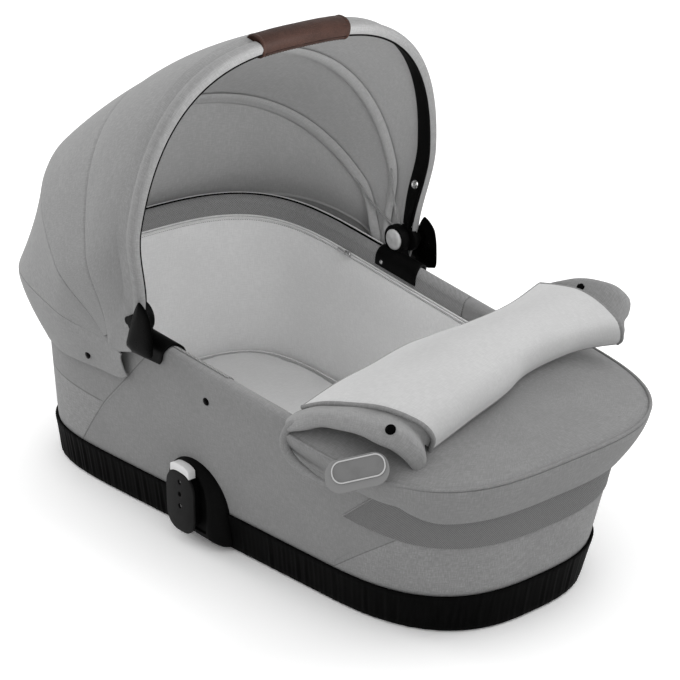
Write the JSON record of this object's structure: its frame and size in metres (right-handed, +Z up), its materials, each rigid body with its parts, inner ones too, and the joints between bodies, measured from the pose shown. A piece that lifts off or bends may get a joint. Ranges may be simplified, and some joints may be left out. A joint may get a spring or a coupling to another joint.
{
  "type": "carrycot",
  "caption": "Carrycot: lined tub with a mattress, a hood that folds on side hinges, a leather grip, a foot apron with a folded wind flap, and side plates that lock onto a pushchair.",
  "frame": {"origin": "centre of the flat underside of the base tray, on the floor plane", "axes": "+X to the foot end (the apron), +Y to the left side (the far side in the picture), +Z up; the longest extent lies along X and the shortest along Y"},
  "size_m": [0.9144, 0.5332, 0.652],
  "materials": {
    "canopy_cloth": "woven, matte",
    "tub_cloth": "woven, matte",
    "liner_cloth": "soft, matte",
    "flap_lining": "soft, matte",
    "mesh_cloth": "open woven mesh",
    "band_cloth": "gathered, slight sheen",
    "mattress_cloth": "padded, matte",
    "black_plastic": "moulded, satin",
    "gloss_black": "polished",
    "grey_plastic": "moulded, satin",
    "pale_plastic": "moulded, semi-gloss",
    "leather": "stitched, satin",
    "steel": "brushed",
    "alloy": "extruded, satin"
  },
  "bodies": {
    "cot": {"base_tray": "black_plastic", "base_band": "band_cloth", "outer_shell": "tub_cloth", "rim_frame": "alloy", "rim_facing": "tub_cloth", "vent_mesh": "mesh_cloth", "liner": "liner_cloth", "liner_zip": "liner_cloth", "hood_zip": "black_plastic", "head_stay": "alloy", "foot_stay": "alloy", "mattress": "mattress_cloth", "foot_window": "mesh_cloth", "side_snap_left": "gloss_black", "side_snap_right": "gloss_black", "hinge_saddle_left": "black_plastic", "hinge_saddle_right": "black_plastic", "button_spring_left": "steel", "button_spring_right": "steel", "hood_pin_left": "steel", "hood_pin_right": "steel", "canopy_rear": "canopy_cloth", "canopy_skirt": "canopy_cloth", "skirt_snap_left": "gloss_black", "skirt_snap_right": "gloss_black", "apron": "tub_cloth", "apron_piping": "canopy_cloth", "apron_tag": "grey_plastic", "adapter_housing_left": "black_plastic", "adapter_housing_right": "black_plastic", "adapter_plate_left": "black_plastic", "adapter_plate_right": "black_plastic", "tab_spring_left": "steel", "tab_spring_right": "steel", "adapter_screw_upper_left": "steel", "adapter_screw_upper_right": "steel", "adapter_screw_lower_left": "steel", "adapter_screw_lower_right": "steel"},
    "rear_hood": {"rear_bow": "black_plastic", "canopy_mid": "canopy_cloth"},
    "mid_hood": {"mid_bow": "black_plastic", "canopy_front": "canopy_cloth"},
    "front_hood": {"front_bow": "black_plastic", "hood_grip": "leather", "bow_foot_left": "black_plastic", "bow_foot_right": "black_plastic", "hinge_cover_left": "gloss_black", "hinge_cover_right": "gloss_black", "bow_stud_left": "steel", "bow_stud_right": "steel"},
    "left_button": {"hood_button_left": "grey_plastic"},
    "right_button": {"hood_button_right": "grey_plastic"},
    "left_tab": {"release_tab_left": "pale_plastic"},
    "right_tab": {"release_tab_right": "pale_plastic"},
    "flap": {"flap_cloth": "canopy_cloth", "flap_lining": "flap_lining", "flap_snap_left": "gloss_black", "flap_snap_right": "gloss_black"},
    "slider": {"zip_slider": "steel"}
  },
  "joints": [
    {"name": "hood_fold", "type": "hinge", "parent": "cot", "child": "rear_hood", "pos_m": [-0.103, 0, 0.2935], "axis": [0, -1, 0], "range_deg": [0, 20], "deforming": ["canopy_rear", "canopy_mid"]},
    {"name": "mid_bow_fold", "type": "hinge", "parent": "rear_hood", "child": "mid_hood", "pos_m": [-0.103, 0, 0.2935], "axis": [0, -1, 0], "range_deg": [0, 29], "deforming": ["canopy_front"]},
    {"name": "front_bow_fold", "type": "hinge", "parent": "mid_hood", "child": "front_hood", "pos_m": [-0.103, 0, 0.2935], "axis": [0, -1, 0], "range_deg": [0, 16]},
    {"name": "left_button_press", "type": "slide", "parent": "cot", "child": "left_button", "axis": [0, 1, 0], "range_m": [0, 0.003], "stiffness_N_per_m": 600, "springref_m": -0.004, "deforming": ["button_spring_left"]},
    {"name": "right_button_press", "type": "slide", "parent": "cot", "child": "right_button", "axis": [0, -1, 0], "range_m": [0, 0.003], "stiffness_N_per_m": 600, "springref_m": -0.004, "deforming": ["button_spring_right"]},
    {"name": "left_tab_pull", "type": "slide", "parent": "cot", "child": "left_tab", "axis": [0, 0, 1], "range_m": [0, 0.004], "stiffness_N_per_m": 600, "springref_m": -0.004, "deforming": ["tab_spring_left"]},
    {"name": "right_tab_pull", "type": "slide", "parent": "cot", "child": "right_tab", "axis": [0, 0, 1], "range_m": [0, 0.004], "stiffness_N_per_m": 600, "springref_m": -0.004, "deforming": ["tab_spring_right"]},
    {"name": "flap_open", "type": "hinge", "parent": "cot", "child": "flap", "pos_m": [0.20841, 0, 0.30466], "axis": [0, -1, 0], "range_deg": [0, 100]},
    {"name": "zip_run", "type": "slide", "parent": "cot", "child": "slider", "axis": [0.9955, -0.0487, -0.0815], "range_m": [0, 0.05]}
  ],
  "couplings": [
    {"joint": "mid_bow_fold", "follows": "hood_fold", "ratio": 1.45},
    {"joint": "front_bow_fold", "follows": "hood_fold", "ratio": 0.8}
  ]
}
